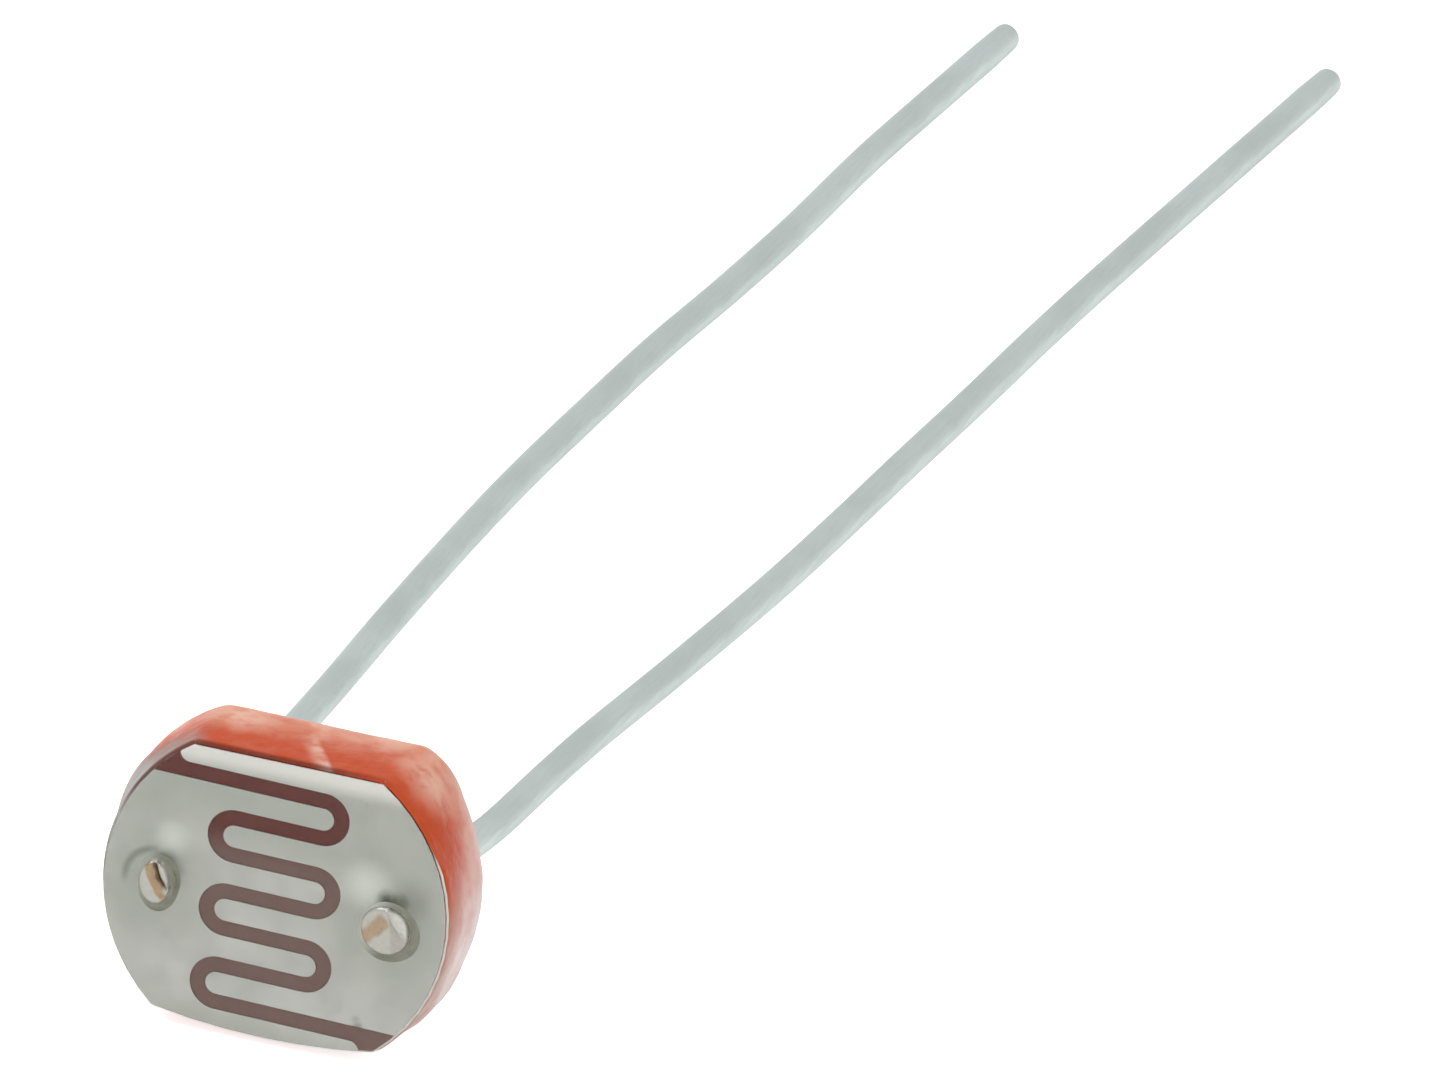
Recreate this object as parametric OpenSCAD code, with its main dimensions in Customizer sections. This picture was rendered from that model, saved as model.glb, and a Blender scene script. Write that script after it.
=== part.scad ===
// Photoresistor: a ceramic disc, cut off above and below, that carries a photoconductive film
// under two comb-shaped metal electrodes. Two wire leads are riveted through the disc, resin
// covers its sides and back, and a clear varnish seals the face.
//
// The part lies on a table as it comes to rest, on the lower flat and the tips of its leads.
// X runs across the face, the leads run along +Y, Z is up. The origin is the middle of the
// lower flat, on the table. All lengths are in millimetres.

/* [Ceramic disc] */
// Diameter over the round sides
disc_d = 5.06; // [4.9:0.02:6]
// Height between the upper flat and its mirror image below
disc_flats = 4.22; // [4.14:0.02:4.4]
// Distance from the middle to the lowest point of the bowed lower edge
bow_low = 2.065; // [2:0.005:2.1]
// Radius of the bowed lower edge
bow_r = 9.6; // [8:0.2:16]
// Thickness of the disc
disc_t = 1.3; // [1.1:0.05:1.8]
// Bevel round the front edge
disc_bevel = 0.02; // [0.01:0.01:0.08]
// Gap between each lead and its hole in the disc
hole_gap = 0.03; // [0.02:0.01:0.06]

/* [Films] */
// Bare rim of the disc outside the films
film_rim = 0.03; // [0.02:0.01:0.1]
// Thickness of the photoconductive film
photo_t = 0.03; // [0.02:0.01:0.06]
// Thickness of the metal electrodes
metal_t = 0.02; // [0.02:0.01:0.05]

/* [Track between the electrodes] */
// Width of the bare track
track_w = 0.23; // [0.15:0.01:0.3]
// Height from one pass of the track to the next
pass_pitch = 0.555; // [0.5:0.005:0.57]
// Number of passes from side to side
passes = 7; // [5, 7]
// Reach of the turns from the middle of the pattern
turn_reach = 1.01; // [0.9:0.01:1.05]
// Reach of the outer strips from the middle of the pattern
strip_reach = 1.39; // [1.2:0.01:1.4]
// Sideways offset of the pattern on the disc
pattern_shift = -0.07; // [-0.1:0.01:0.1]
// Turn of the pattern on the disc, to the right
pattern_turn = 1.1; // [0:0.1:2]

/* [Leads] */
// Distance between the two leads at the disc
lead_pitch = 3.4; // [3.3:0.05:3.5]
// Diameter of the wire
lead_d = 0.43; // [0.38:0.01:0.5]
// Length of the left lead behind the coat
lead_left_l = 40.6; // [30:0.1:48]
// Length of the right lead behind the coat
lead_right_l = 41.5; // [30:0.1:48]
// Greatest drift of a lead to the side
lead_drift = 0.8; // [0:0.05:1]
// Straight stretch of wire behind the resin that runs up it
lead_root = 0.1; // [0.1:0.1:1]
// Straight stretch at the tip, which goes into a board
lead_tip = 6; // [4:0.5:8]
// Bevel at the cut tip
tip_bevel = 0.04; // [0.02:0.01:0.08]

/* [Lead heads] */
// Diameter of the left lead's upset head on the face
head_left_d = 0.54; // [0.52:0.01:0.6]
// Diameter of the right lead's upset head on the face
head_right_d = 0.64; // [0.58:0.01:0.68]
// Height of each head over the electrode
head_h = 0.3; // [0.24:0.02:0.4]
// Slope of the long side of the snipped head
snip_long = 12; // [8:1:18]
// Slope of the short side of the snipped head
snip_short = 52; // [40:1:60]
// Distance of the left ridge from the middle of its head
ridge_left = 0.18; // [0:0.01:0.22]
// Distance of the right ridge from the middle of its head
ridge_right = 0.26; // [0:0.01:0.28]
// Turn of both ridges from upright, to the left
ridge_turn = 34; // [0:1:60]
// Diameter of the conductive bond round the left head
bond_left_d = 0.84; // [0.8:0.02:0.92]
// Diameter of the conductive bond round the right head
bond_right_d = 0.94; // [0.88:0.02:0.98]
// Height of each bond's dome
bond_h = 0.28; // [0.24:0.01:0.3]

/* [Resin coat] */
// Thickness on the round sides and the flats
coat_side = 0.05; // [0.05:0.01:0.2]
// Thickness over the back of the disc
coat_back = 0.7; // [0.4:0.05:0.8]
// Distance from the face of the disc back to the edge of the coat
coat_setback = 0.03; // [0.03:0.01:0.1]
// Thickness at that edge
coat_edge = 0.02; // [0.01:0.01:0.05]
// Length over which the edge thickens to the full coat
coat_taper = 0.3; // [0.2:0.05:0.4]
// Slope of the coat from the bowed lower edge down to its flat
bow_slope = 22; // [20:1:35]
// Radius of the rounded back edge
coat_round = 0.8; // [0.5:0.05:0.9]
// Length of the resin that runs up each lead
run_l = 0.5; // [0.4:0.1:1]
// Width of that resin round the lead, where it leaves the back
run_w = 0.25; // [0.2:0.05:0.4]
// Thickness of that resin where it ends
run_edge = 0.02; // [0.01:0.01:0.05]

/* [Varnish] */
// Thickness over the electrodes
varnish_t = 0.04; // [0.03:0.01:0.08]
// Width of the raised ring of varnish round each bond
ring_w = 0.38; // [0.3:0.01:0.42]
// Height of the ring where it meets the bond
ring_h = 0.06; // [0.04:0.01:0.08]

/* [Hidden] */
$fn = 64;
// Overrun of cuts past the faces that they open
cut = 1;
left = -1;
right = 1;

lead_r = lead_d / 2;
hole_r = lead_r + hole_gap;
film_t = photo_t + metal_t;
film_top = disc_flats / 2 - film_rim;

// The coat's outside, measured from the face of the disc
coat_r = disc_d / 2 + coat_side;
coat_top = disc_flats / 2 + coat_side;
coat_end = disc_t + coat_back;
root_end = coat_end + run_l + lead_root;

// The track's turns are half rings about these centres
turn_r = pass_pitch / 2;
turn_x = turn_reach - turn_r - track_w / 2;
first_pass = (passes - 1) / 2 * pass_pitch;
strip_low = first_pass + track_w / 2;
strip_r = (film_top - strip_low) / 2;

// Sizes of a lead's head and bond, and the sphere that the bond's dome is cut from
function head_r(side) = (side == left ? head_left_d : head_right_d) / 2;
function bond_r(side) = (side == left ? bond_left_d : bond_right_d) / 2;
function bond_sphere(side) = (pow(bond_r(side), 2) + bond_h * bond_h) / (2 * bond_h);

// Circle that hollows the resin on a lead
run_radius = (pow(run_w - run_edge, 2) + run_l * run_l) / (2 * (run_w - run_edge));
// Circle that hollows the ring of varnish, and how steeply it meets the flat varnish
ring_slope = 3;
ring_lift = ring_h - ring_w * tan(ring_slope);
ring_radius = (ring_w * ring_w + ring_h * ring_h) / (2 * ring_lift * cos(ring_slope));

// Routes of the leads: share of the length behind the coat, share of the drift to the right,
// and share of the fall from the disc to the table. The last point is the tip.
route_left = [[0.08, -0.1, 0.03], [0.16, -0.287, 0.11], [0.24, -0.537, 0.2], [0.34, -0.787, 0.31],
              [0.42, -0.938, 0.4], [0.5, -0.975, 0.48], [0.58, -1, 0.57], [0.66, -0.887, 0.65],
              [0.74, -0.838, 0.73], [0.82, -0.912, 0.81], [1, -0.787, 1]];
route_right = [[0.06, 0.137, 0.02], [0.11, 0.175, 0.06], [0.16, 0.225, 0.11], [0.24, 0.387, 0.2],
               [0.34, 0.55, 0.31], [0.42, 0.587, 0.4], [0.5, 0.6, 0.48], [0.58, 0.612, 0.57],
               [0.66, 0.612, 0.65], [0.74, 0.662, 0.73], [0.82, 0.75, 0.81], [1, 0.938, 1]];
wire_sides = 16;
steps_per_span = 3;
// The bent wire is this share of the straight wire's size, so that it ends inside it
bent_share = 0.985;
bent_overlap = 0.15;

// Colours, as red, green and blue shares
ceramic_colour = [0.93, 0.91, 0.87];
photo_colour = [0.42, 0.22, 0.19];
metal_colour = [0.70, 0.72, 0.70];
bond_colour = [0.62, 0.64, 0.61];
wire_colour = [0.74, 0.76, 0.76];
resin_colour = [0.84, 0.36, 0.20];
varnish_colour = [0.95, 0.97, 0.95, 0.35];

// Moves a piece from the face of the disc, where sizes are measured, to the table
module on_table() {
    translate([0, -(coat_setback + coat_taper + coat_end - coat_round) / 2, coat_top])
        children();
}

// Extrudes a shape drawn on the face, from one depth behind the face to another
module along_y(from, to) {
    translate([0, to, 0])
        rotate([90, 0, 0])
            linear_extrude(to - from)
                children();
}

// Turns a profile of radius and depth about an axis that runs straight back from the face
module about_lead(side) {
    translate([side * lead_pitch / 2, 0, 0])
        rotate([-90, 0, 0])
            rotate_extrude()
                children();
}

// Round wire straight back along a lead's axis
module straight_wire(side, radius, from, to) {
    translate([side * lead_pitch / 2, from, 0])
        rotate([-90, 0, 0])
            cylinder(r = radius, h = to - from);
}

// Outline of the disc, drawn in by a rim: a circle with a flat above and a bowed edge below
module face_outline(rim) {
    top = disc_flats / 2 - rim;
    intersection() {
        circle(disc_d / 2 - rim);
        translate([-disc_d, -disc_d])
            square([2 * disc_d, disc_d + top]);
        translate([0, bow_r - bow_low])
            circle(bow_r - rim);
    }
}

// Sections through the disc and its coat, with the front edge at zero
module bevelled_section(half, depth, bevel, overrun = 0) {
    slope = half - bevel - overrun;
    polygon([[-slope, -overrun], [slope, -overrun], [half, bevel], [half, depth + overrun],
             [-half, depth + overrun], [-half, bevel]]);
}

module coat_section(half) {
    depth = coat_end - coat_setback;
    edge = half - coat_side + coat_edge;
    side_end = depth - coat_round;
    polygon([[-edge, 0], [edge, 0], [half, coat_taper], [half, side_end],
             [-half, side_end], [-half, coat_taper]]);
    translate([coat_round - half, 0])
        square([2 * (half - coat_round), depth]);
    for (side = [left, right])
        translate([side * (half - coat_round), side_end])
            circle(coat_round);
}

// A section turned about the disc's axis
module turned(start) {
    translate([0, start, 0])
        rotate([-90, 0, 0])
            rotate_extrude()
                intersection() {
                    children();
                    translate([0, -disc_d])
                        square(2 * disc_d);
                }
}

// A section run straight across the disc, for the flats
module run_across(start) {
    translate([-disc_d, start, 0])
        rotate([0, 90, 0])
            linear_extrude(2 * disc_d)
                children();
}

// The face pattern

module film_outline() {
    face_outline(film_rim);
}

function pass_y(i) = first_pass - i * pass_pitch;

// Side of the turn after pass i: right after even passes, left after odd ones
function turn_side(i) = i % 2 == 0 ? right : left;

module turn(i) {
    translate([turn_side(i) * turn_x, pass_y(i) - turn_r])
        intersection() {
            difference() {
                circle(turn_r + track_w / 2);
                circle(turn_r - track_w / 2);
            }
            translate([turn_side(i) > 0 ? 0 : -pass_pitch, -pass_pitch])
                square([pass_pitch, 2 * pass_pitch]);
        }
}

module pass(i) {
    start = i == 0 ? -disc_d : -turn_x;
    end = i == passes - 1 ? disc_d : turn_x;
    translate([start, pass_y(i) - track_w / 2])
        square([end - start, track_w]);
}

// Bare corner past the round end of the outer strip
module bare_corner() {
    difference() {
        translate([-disc_d, strip_low - track_w / 2])
            square([disc_d - strip_reach, disc_d]);
        translate([-strip_reach, strip_low + strip_r])
            circle(strip_r);
    }
}

// Places what is drawn about the middle of the pattern
module in_pattern() {
    rotate(-pattern_turn)
        translate([pattern_shift, 0])
            children();
}

module track() {
    in_pattern() {
        for (i = [0 : passes - 1])
            pass(i);
        for (i = [0 : passes - 2])
            turn(i);
        bare_corner();
        rotate(180)
            bare_corner();
    }
}

// Middle line of the track from its left end to its right end
function turn_points(i) =
    let (s = turn_side(i))
    [for (a = [90 : -30 : -90]) [s * (turn_x + turn_r * cos(a)), pass_y(i) - turn_r + turn_r * sin(a)]];

function middle_line() = concat(
    [[-disc_d, first_pass]],
    [for (i = [0 : passes - 2]) each turn_points(i)],
    [[disc_d, -first_pass]]);

// Everything on one side of the middle line
module half_face(side) {
    in_pattern()
        polygon(concat(middle_line(), [[disc_d, side * disc_d], [-disc_d, side * disc_d]]));
}

module electrode(side) {
    color(metal_colour)
        on_table()
            difference() {
                along_y(-film_t, -photo_t)
                    intersection() {
                        difference() {
                            film_outline();
                            track();
                        }
                        half_face(side);
                    }
                straight_wire(side, hole_r, -cut, cut);
            }
}

// The leads

function unit(v) = v / norm(v);

// Route in space: from the straight root behind the coat to the start of the straight tip
function route_end(side, length, route) =
    let (p = route[len(route) - 1])
    [side * lead_pitch / 2 + p[1] * lead_drift, coat_end + length, lead_r - coat_top];

function route_point(side, length, p) =
    [side * lead_pitch / 2 + p[1] * lead_drift, coat_end + p[0] * length, p[2] * (lead_r - coat_top)];

function route_points(side, length, route) =
    let (last = len(route) - 1,
         end = route_end(side, length, route),
         before = route_point(side, length, route[last - 1]),
         joint = end - lead_tip * unit(end - before))
    concat([[side * lead_pitch / 2, root_end, 0]],
           [for (i = [0 : last - 2]) route_point(side, length, route[i])],
           [joint, end]);

// Point and direction on a smooth curve through the route
function slope_at(p, i) =
    i == 0 ? [0, norm(p[1] - p[0]), 0] :
    i == len(p) - 2 ? unit(p[i + 1] - p[i]) * norm(p[i] - p[i - 1]) :
    (p[i + 1] - p[i - 1]) / 2;

function curve_point(p, i, t) =
    let (a = slope_at(p, i), b = slope_at(p, i + 1))
    p[i] * (2 * t * t * t - 3 * t * t + 1) + a * (t * t * t - 2 * t * t + t)
    + p[i + 1] * (3 * t * t - 2 * t * t * t) + b * (t * t * t - t * t);

function curve_slope(p, i, t) =
    let (a = slope_at(p, i), b = slope_at(p, i + 1))
    unit((p[i] - p[i + 1]) * (6 * t * t - 6 * t) + a * (3 * t * t - 4 * t + 1) + b * (3 * t * t - 2 * t));

function ring(centre, direction) =
    let (across = unit(cross(direction, [0, 0, 1])), over = cross(across, direction))
    [for (k = [0 : wire_sides - 1])
        let (a = 360 * k / wire_sides)
        centre + lead_r * bent_share * (across * cos(a) + over * sin(a))];

module bent_wire(p) {
    spans = len(p) - 2;
    first = p[0] - [0, bent_overlap, 0];
    tip_way = unit(p[spans + 1] - p[spans]);
    rings = concat(
        [ring(first, [0, 1, 0])],
        [for (i = [0 : spans - 1], k = [0 : steps_per_span - 1])
            ring(curve_point(p, i, k / steps_per_span), curve_slope(p, i, k / steps_per_span))],
        [ring(p[spans], tip_way), ring(p[spans] + bent_overlap * tip_way, tip_way)]);
    n = wire_sides;
    last = len(rings) - 1;
    polyhedron(
        points = [for (r = rings) each r],
        faces = concat(
            [[for (k = [0 : n - 1]) n - 1 - k]],
            [for (j = [0 : last - 1], k = [0 : n - 1])
                [j * n + k, j * n + (k + 1) % n, (j + 1) * n + (k + 1) % n, (j + 1) * n + k]],
            [[for (k = [0 : n - 1]) last * n + k]]));
}

// Straight stretch at the tip, with the bevel of its cut end
module tip_wire(start, end) {
    way = end - start;
    translate(start)
        rotate([0, acos(way[2] / norm(way)), atan2(way[1], way[0])])
            rotate_extrude()
                polygon([[0, 0], [lead_r, 0], [lead_r, norm(way) - tip_bevel],
                         [lead_r - tip_bevel, norm(way)], [0, norm(way)]]);
}

// Upset head, snipped to a ridge with one long and one short slope
module head(side, ridge) {
    difference() {
        straight_wire(side, head_r(side), -film_t - head_h, -film_t);
        translate([side * lead_pitch / 2, -film_t - head_h, 0])
            rotate([0, -ridge_turn, 0])
                translate([ridge, 0, 0]) {
                    rotate([0, 0, snip_short])
                        translate([0, -cut, -cut])
                            cube([2 * cut, cut, 2 * cut]);
                    rotate([0, 0, -snip_long])
                        translate([-2 * cut, -cut, -cut])
                            cube([2 * cut, cut, 2 * cut]);
                }
    }
}

module lead(side, length, route, ridge) {
    p = route_points(side, length, route);
    color(wire_colour)
        on_table() {
            head(side, ridge);
            straight_wire(side, lead_r, -film_t, root_end);
            bent_wire(p);
            tip_wire(p[len(p) - 2], p[len(p) - 1]);
        }
}

// The named pieces

module ceramic_disc() {
    color(ceramic_colour)
        on_table()
            difference() {
                intersection() {
                    turned(0)
                        bevelled_section(disc_d / 2, disc_t, disc_bevel);
                    run_across(0)
                        bevelled_section(disc_flats / 2, disc_t, disc_bevel, cut);
                    along_y(0, disc_t)
                        face_outline(0);
                }
                for (side = [left, right])
                    straight_wire(side, hole_r, -cut, disc_t + cut);
            }
}

module photoconductor_film() {
    color(photo_colour)
        on_table()
            difference() {
                along_y(-photo_t, 0)
                    film_outline();
                for (side = [left, right])
                    straight_wire(side, hole_r, -cut, cut);
            }
}

module electrode_left() {
    electrode(left);
}

module electrode_right() {
    electrode(right);
}

// Dome of conductive paste on the electrode, round the head
module bond_dome(side) {
    about_lead(side)
        intersection() {
            translate([0, bond_sphere(side) - bond_h - film_t])
                circle(bond_sphere(side));
            translate([0, -bond_h - film_t])
                square([2 * bond_r(side), bond_h]);
        }
}

module bond(side) {
    color(bond_colour)
        on_table()
            difference() {
                bond_dome(side);
                straight_wire(side, head_r(side), -cut, cut);
            }
}

module bond_left() {
    bond(left);
}

module bond_right() {
    bond(right);
}

module lead_left() {
    lead(left, lead_left_l, route_left, ridge_left);
}

module lead_right() {
    lead(right, lead_right_l, route_right, ridge_right);
}

// Resin that has run up a lead, thinning away from the back of the coat
module resin_run(side) {
    about_lead(side)
        difference() {
            translate([0, coat_end - coat_back / 2])
                square([lead_r + run_w, coat_back / 2 + run_l]);
            translate([lead_r + run_edge + run_radius, coat_end + run_l])
                circle(run_radius);
        }
}

// Cone round the bowed edge, which thins the coat under the front of the disc
module under_bow() {
    depth = coat_end - coat_setback;
    front_r = bow_r + coat_edge;
    translate([0, coat_setback, bow_r - bow_low])
        rotate([-90, 0, 0])
            cylinder(r1 = front_r, r2 = front_r + depth * tan(bow_slope), h = depth);
}

module resin_coat() {
    color(resin_colour)
        on_table()
            difference() {
                union() {
                    intersection() {
                        turned(coat_setback)
                            coat_section(coat_r);
                        run_across(coat_setback)
                            coat_section(coat_top);
                        under_bow();
                    }
                    for (side = [left, right])
                        resin_run(side);
                }
                along_y(-cut, disc_t)
                    face_outline(0);
                for (side = [left, right])
                    straight_wire(side, lead_r, 0, coat_end + run_l + cut);
            }
}

// Raised ring where the varnish climbs the bond
module varnish_ring(side) {
    about_lead(side)
        difference() {
            translate([0, -film_t - varnish_t - ring_h])
                square([bond_r(side) + ring_w, ring_h + varnish_t / 2]);
            translate([bond_r(side) + ring_w + ring_radius * sin(ring_slope),
                       -film_t - varnish_t - ring_radius * cos(ring_slope)])
                circle(ring_radius);
        }
}

module face_varnish() {
    color(varnish_colour)
        on_table()
            difference() {
                union() {
                    along_y(-film_t - varnish_t, -film_t)
                        film_outline();
                    along_y(-film_t, -photo_t)
                        intersection() {
                            film_outline();
                            track();
                        }
                    intersection() {
                        along_y(-film_t - varnish_t - ring_h, -film_t)
                            film_outline();
                        for (side = [left, right])
                            varnish_ring(side);
                    }
                }
                for (side = [left, right]) {
                    bond_dome(side);
                    straight_wire(side, head_r(side), -cut, cut);
                }
            }
}

ceramic_disc();
photoconductor_film();
electrode_left();
electrode_right();
bond_left();
bond_right();
lead_left();
lead_right();
resin_coat();
face_varnish();
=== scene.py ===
import math

import bmesh
import bpy
import numpy as np
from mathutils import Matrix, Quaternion, Vector, geometry, noise

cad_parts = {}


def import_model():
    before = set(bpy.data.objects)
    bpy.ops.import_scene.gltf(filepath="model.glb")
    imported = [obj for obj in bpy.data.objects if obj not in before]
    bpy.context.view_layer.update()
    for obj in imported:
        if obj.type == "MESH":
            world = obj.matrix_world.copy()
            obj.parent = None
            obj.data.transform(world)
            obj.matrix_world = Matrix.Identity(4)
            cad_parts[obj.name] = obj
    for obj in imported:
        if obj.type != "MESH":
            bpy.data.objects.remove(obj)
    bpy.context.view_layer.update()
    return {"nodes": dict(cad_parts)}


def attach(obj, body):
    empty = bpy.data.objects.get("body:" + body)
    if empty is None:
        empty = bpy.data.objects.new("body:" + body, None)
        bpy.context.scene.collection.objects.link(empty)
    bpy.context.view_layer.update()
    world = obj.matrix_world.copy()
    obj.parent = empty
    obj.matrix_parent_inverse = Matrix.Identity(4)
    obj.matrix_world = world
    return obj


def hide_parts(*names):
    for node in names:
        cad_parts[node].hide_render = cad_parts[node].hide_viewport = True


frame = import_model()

# Sizes of the CAD model in millimetres. Shapes are drawn from the middle of the disc's face:
# X right, Y back along the leads, Z up.
MM = 0.001
FACE = np.array([0.0, -0.765, 2.16])
BACK, UP, DOWN = (0, 1, 0), (0, 0, 1), (0, 0, -1)

# The disc, its bowed lower edge, and how fast the coat under that edge grows towards the back
DISC_R, DISC_TOP, DISC_T = 2.53, 2.11, 1.3
BOW_R, BOW_LOW, BOW_SLOPE = 9.6, 2.065, 0.4

# The films on the face, and the varnish over them with its ring round each pin
FILM_RIM, FILM_T = 0.03, 0.05
VARNISH_T, RING_H, RING_W = 0.04, 0.05, 0.4

# The coat, and its run up each lead
COAT_R, COAT_TOP, COAT_END, COAT_ROUND = 2.58, 2.16, 2.0, 0.66
RUN_L = 0.5

# The leads, with the heads and the paste by side: -1 left, 1 right
LEAD_X, LEAD_R = 1.7, 0.215
ROOT_END, TIP_L = 2.6, 6.0
HEAD_R = {-1: 0.27, 1: 0.32}
BOND_R = {-1: 0.42, 1: 0.47}

# Routes of the leads, close to those of the CAD source: side, length, and points as share of
# the length behind the coat, drift to the right, and share of the fall to the table. The last
# point is the tip.
ROUTES = {
    "lead_left": (-1, 40.6, [
        (0.08, -0.08, 0.03), (0.16, -0.23, 0.11), (0.24, -0.43, 0.2), (0.34, -0.63, 0.31),
        (0.42, -0.74, 0.4), (0.5, -0.765, 0.48), (0.58, -0.78, 0.57), (0.66, -0.7, 0.65),
        (0.74, -0.67, 0.73), (0.82, -0.73, 0.81), (1, -0.63, 1)]),
    "lead_right": (1, 41.5, [
        (0.06, 0.11, 0.02), (0.11, 0.14, 0.06), (0.16, 0.18, 0.11), (0.24, 0.31, 0.2),
        (0.34, 0.44, 0.31), (0.42, 0.47, 0.4), (0.5, 0.48, 0.48), (0.58, 0.49, 0.57),
        (0.66, 0.49, 0.65), (0.74, 0.53, 0.73), (0.82, 0.6, 0.81), (1, 0.75, 1)]),
}


def smoothstep(t):
    t = np.clip(t, 0, 1)
    return t * t * (3 - 2 * t)


def waves(points, size, seed):
    """Smooth noise from -1 to 1 at points in millimetres, with features of that size."""
    shift = Vector((seed * 17.3, seed * 5.1, seed * 9.7))
    return np.array([noise.noise(Vector(p) / size + shift) for p in points])


def round_angles(count):
    return 2 * np.pi * np.arange(count) / count


# Materials

class Look:
    """A node material on one Principled shader, textured by place on the object in metres."""

    def __init__(self, name, **constants):
        self.material = bpy.data.materials.new(name)
        self.material.use_nodes = True
        self.tree = self.material.node_tree
        self.shader = self.tree.nodes["Principled BSDF"]
        self.place = self.add("ShaderNodeTexCoord").outputs["Object"]
        for socket, value in constants.items():
            self.shader.inputs[socket.replace("_", " ")].default_value = value

    def add(self, kind, **settings):
        node = self.tree.nodes.new(kind)
        for key, value in settings.items():
            setattr(node, key, value)
        return node

    def link(self, output, socket):
        self.tree.links.new(output, socket)

    def set(self, socket, output):
        self.link(output, self.shader.inputs[socket])

    def grain(self, size, detail=3.0, stretch=(1, 1, 1)):
        """Noise with features of that size in millimetres, drawn out along an axis by stretch."""
        mapping = self.add("ShaderNodeMapping")
        mapping.inputs["Scale"].default_value = [1 / (size * MM * s) for s in stretch]
        self.link(self.place, mapping.inputs["Vector"])
        node = self.add("ShaderNodeTexNoise")
        node.inputs["Scale"].default_value = 1.0
        node.inputs["Detail"].default_value = detail
        node.inputs["Roughness"].default_value = 0.5
        self.link(mapping.outputs["Vector"], node.inputs["Vector"])
        return node.outputs["Fac"]

    def mark(self, name):
        """A value that the mesh carries at its points."""
        return self.add("ShaderNodeAttribute", attribute_name=name).outputs["Fac"]

    def span(self, value, low, high, to_low=0.0, to_high=1.0):
        node = self.add("ShaderNodeMapRange", interpolation_type="SMOOTHSTEP")
        for socket, v in zip(("From Min", "From Max", "To Min", "To Max"),
                             (low, high, to_low, to_high)):
            node.inputs[socket].default_value = v
        self.link(value, node.inputs["Value"])
        return node.outputs["Result"]

    def axis(self, which):
        node = self.add("ShaderNodeSeparateXYZ")
        self.link(self.place, node.inputs["Vector"])
        return node.outputs[which]

    def distance(self, centre):
        """Distance in metres from a point about the face in millimetres."""
        node = self.add("ShaderNodeVectorMath", operation="DISTANCE")
        self.link(self.place, node.inputs[0])
        node.inputs[1].default_value = ((np.array(centre) + FACE) * MM).tolist()
        return node.outputs["Value"]

    def near(self, centre, reach):
        """1 at a point about the face, falling to 0 at reach."""
        return self.span(self.distance(centre), 0, reach * MM, 1, 0)

    def along(self, direction, low, high):
        """0 to 1 between two distances from the middle of the face in a direction."""
        node = self.add("ShaderNodeVectorMath", operation="DOT_PRODUCT")
        self.link(self.place, node.inputs[0])
        node.inputs[1].default_value = direction
        start = float(np.dot(direction, FACE))
        return self.span(node.outputs["Value"], (start + low) * MM, (start + high) * MM)

    def arc(self, centre, radius, width, direction):
        """Line round a point of the face, on its side towards a direction."""
        away = self.distance(centre)
        inner = self.span(away, (radius - width) * MM, radius * MM)
        outer = self.span(away, radius * MM, (radius + width) * MM, 1, 0)
        start = float(np.dot(direction, centre))
        side = self.along(direction, start + 0.45 * radius, start + 0.9 * radius)
        return self.times(inner, outer, side)

    def math(self, operation, a, b):
        node = self.add("ShaderNodeMath", operation=operation)
        for socket, v in zip(node.inputs, (a, b)):
            if isinstance(v, (int, float)):
                socket.default_value = v
            else:
                self.link(v, socket)
        return node.outputs["Value"]

    def times(self, value, *others):
        for other in others:
            value = self.math("MULTIPLY", value, other)
        return value

    def most(self, value, *others):
        for other in others:
            value = self.math("MAXIMUM", value, other)
        return value

    def plus(self, a, b):
        return self.math("ADD", a, b)

    def flip(self, value):
        return self.math("SUBTRACT", 1.0, value)

    def mix(self, factor, a, b):
        node = self.add("ShaderNodeMix", data_type="RGBA")
        self.link(factor, node.inputs["Factor"])
        for socket, v in ((node.inputs[6], a), (node.inputs[7], b)):
            if isinstance(v, tuple):
                socket.default_value = (*v, 1)
            else:
                self.link(v, socket)
        return node.outputs[2]

    def bump(self, height, depth):
        """Relief of that depth in millimetres."""
        node = self.add("ShaderNodeBump")
        node.inputs["Strength"].default_value = 1.0
        node.inputs["Distance"].default_value = depth * MM
        self.link(height, node.inputs["Height"])
        self.set("Normal", node.outputs["Normal"])


def ceramic_look():
    """Fired alumina: matt, with a fine grain."""
    look = Look("ceramic", Roughness=0.55)
    grain = look.grain(0.12, 4)
    look.set("Base Color", look.mix(grain, (0.62, 0.58, 0.52), (0.82, 0.79, 0.74)))
    look.bump(look.grain(0.05, 4), 0.004)
    return look.material


def film_look():
    """Sintered film: matt red-brown, deeper on the upper turns of the track, with a painted
    reflection of the varnish making the lower turns paler and greyer.
    """
    look = Look("photoconductor", Roughness=0.65, Specular_IOR_Level=0.2)
    patches = look.grain(0.6, 3)
    grain = look.grain(0.045, 5)
    # Painted reflection: the lower turns are paler, standing in for the varnish reflecting the
    # white surroundings; the upper turns keep the film's deep colour
    high = look.along(UP, 0.5, 1.0)
    painted_reflection = look.mix(patches, (0.165, 0.084, 0.071), (0.2, 0.113, 0.098))
    deep = look.mix(patches, (0.096, 0.007, 0.002), (0.12, 0.014, 0.005))
    tone = look.mix(high, painted_reflection, deep)
    grains = look.mix(high, (0.2, 0.105, 0.09), (0.175, 0.03, 0.018))
    look.set("Base Color", look.mix(look.span(grain, 0.45, 0.85, 0, 0.6), tone, grains))
    look.bump(grain, 0.004)
    return look.material
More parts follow.
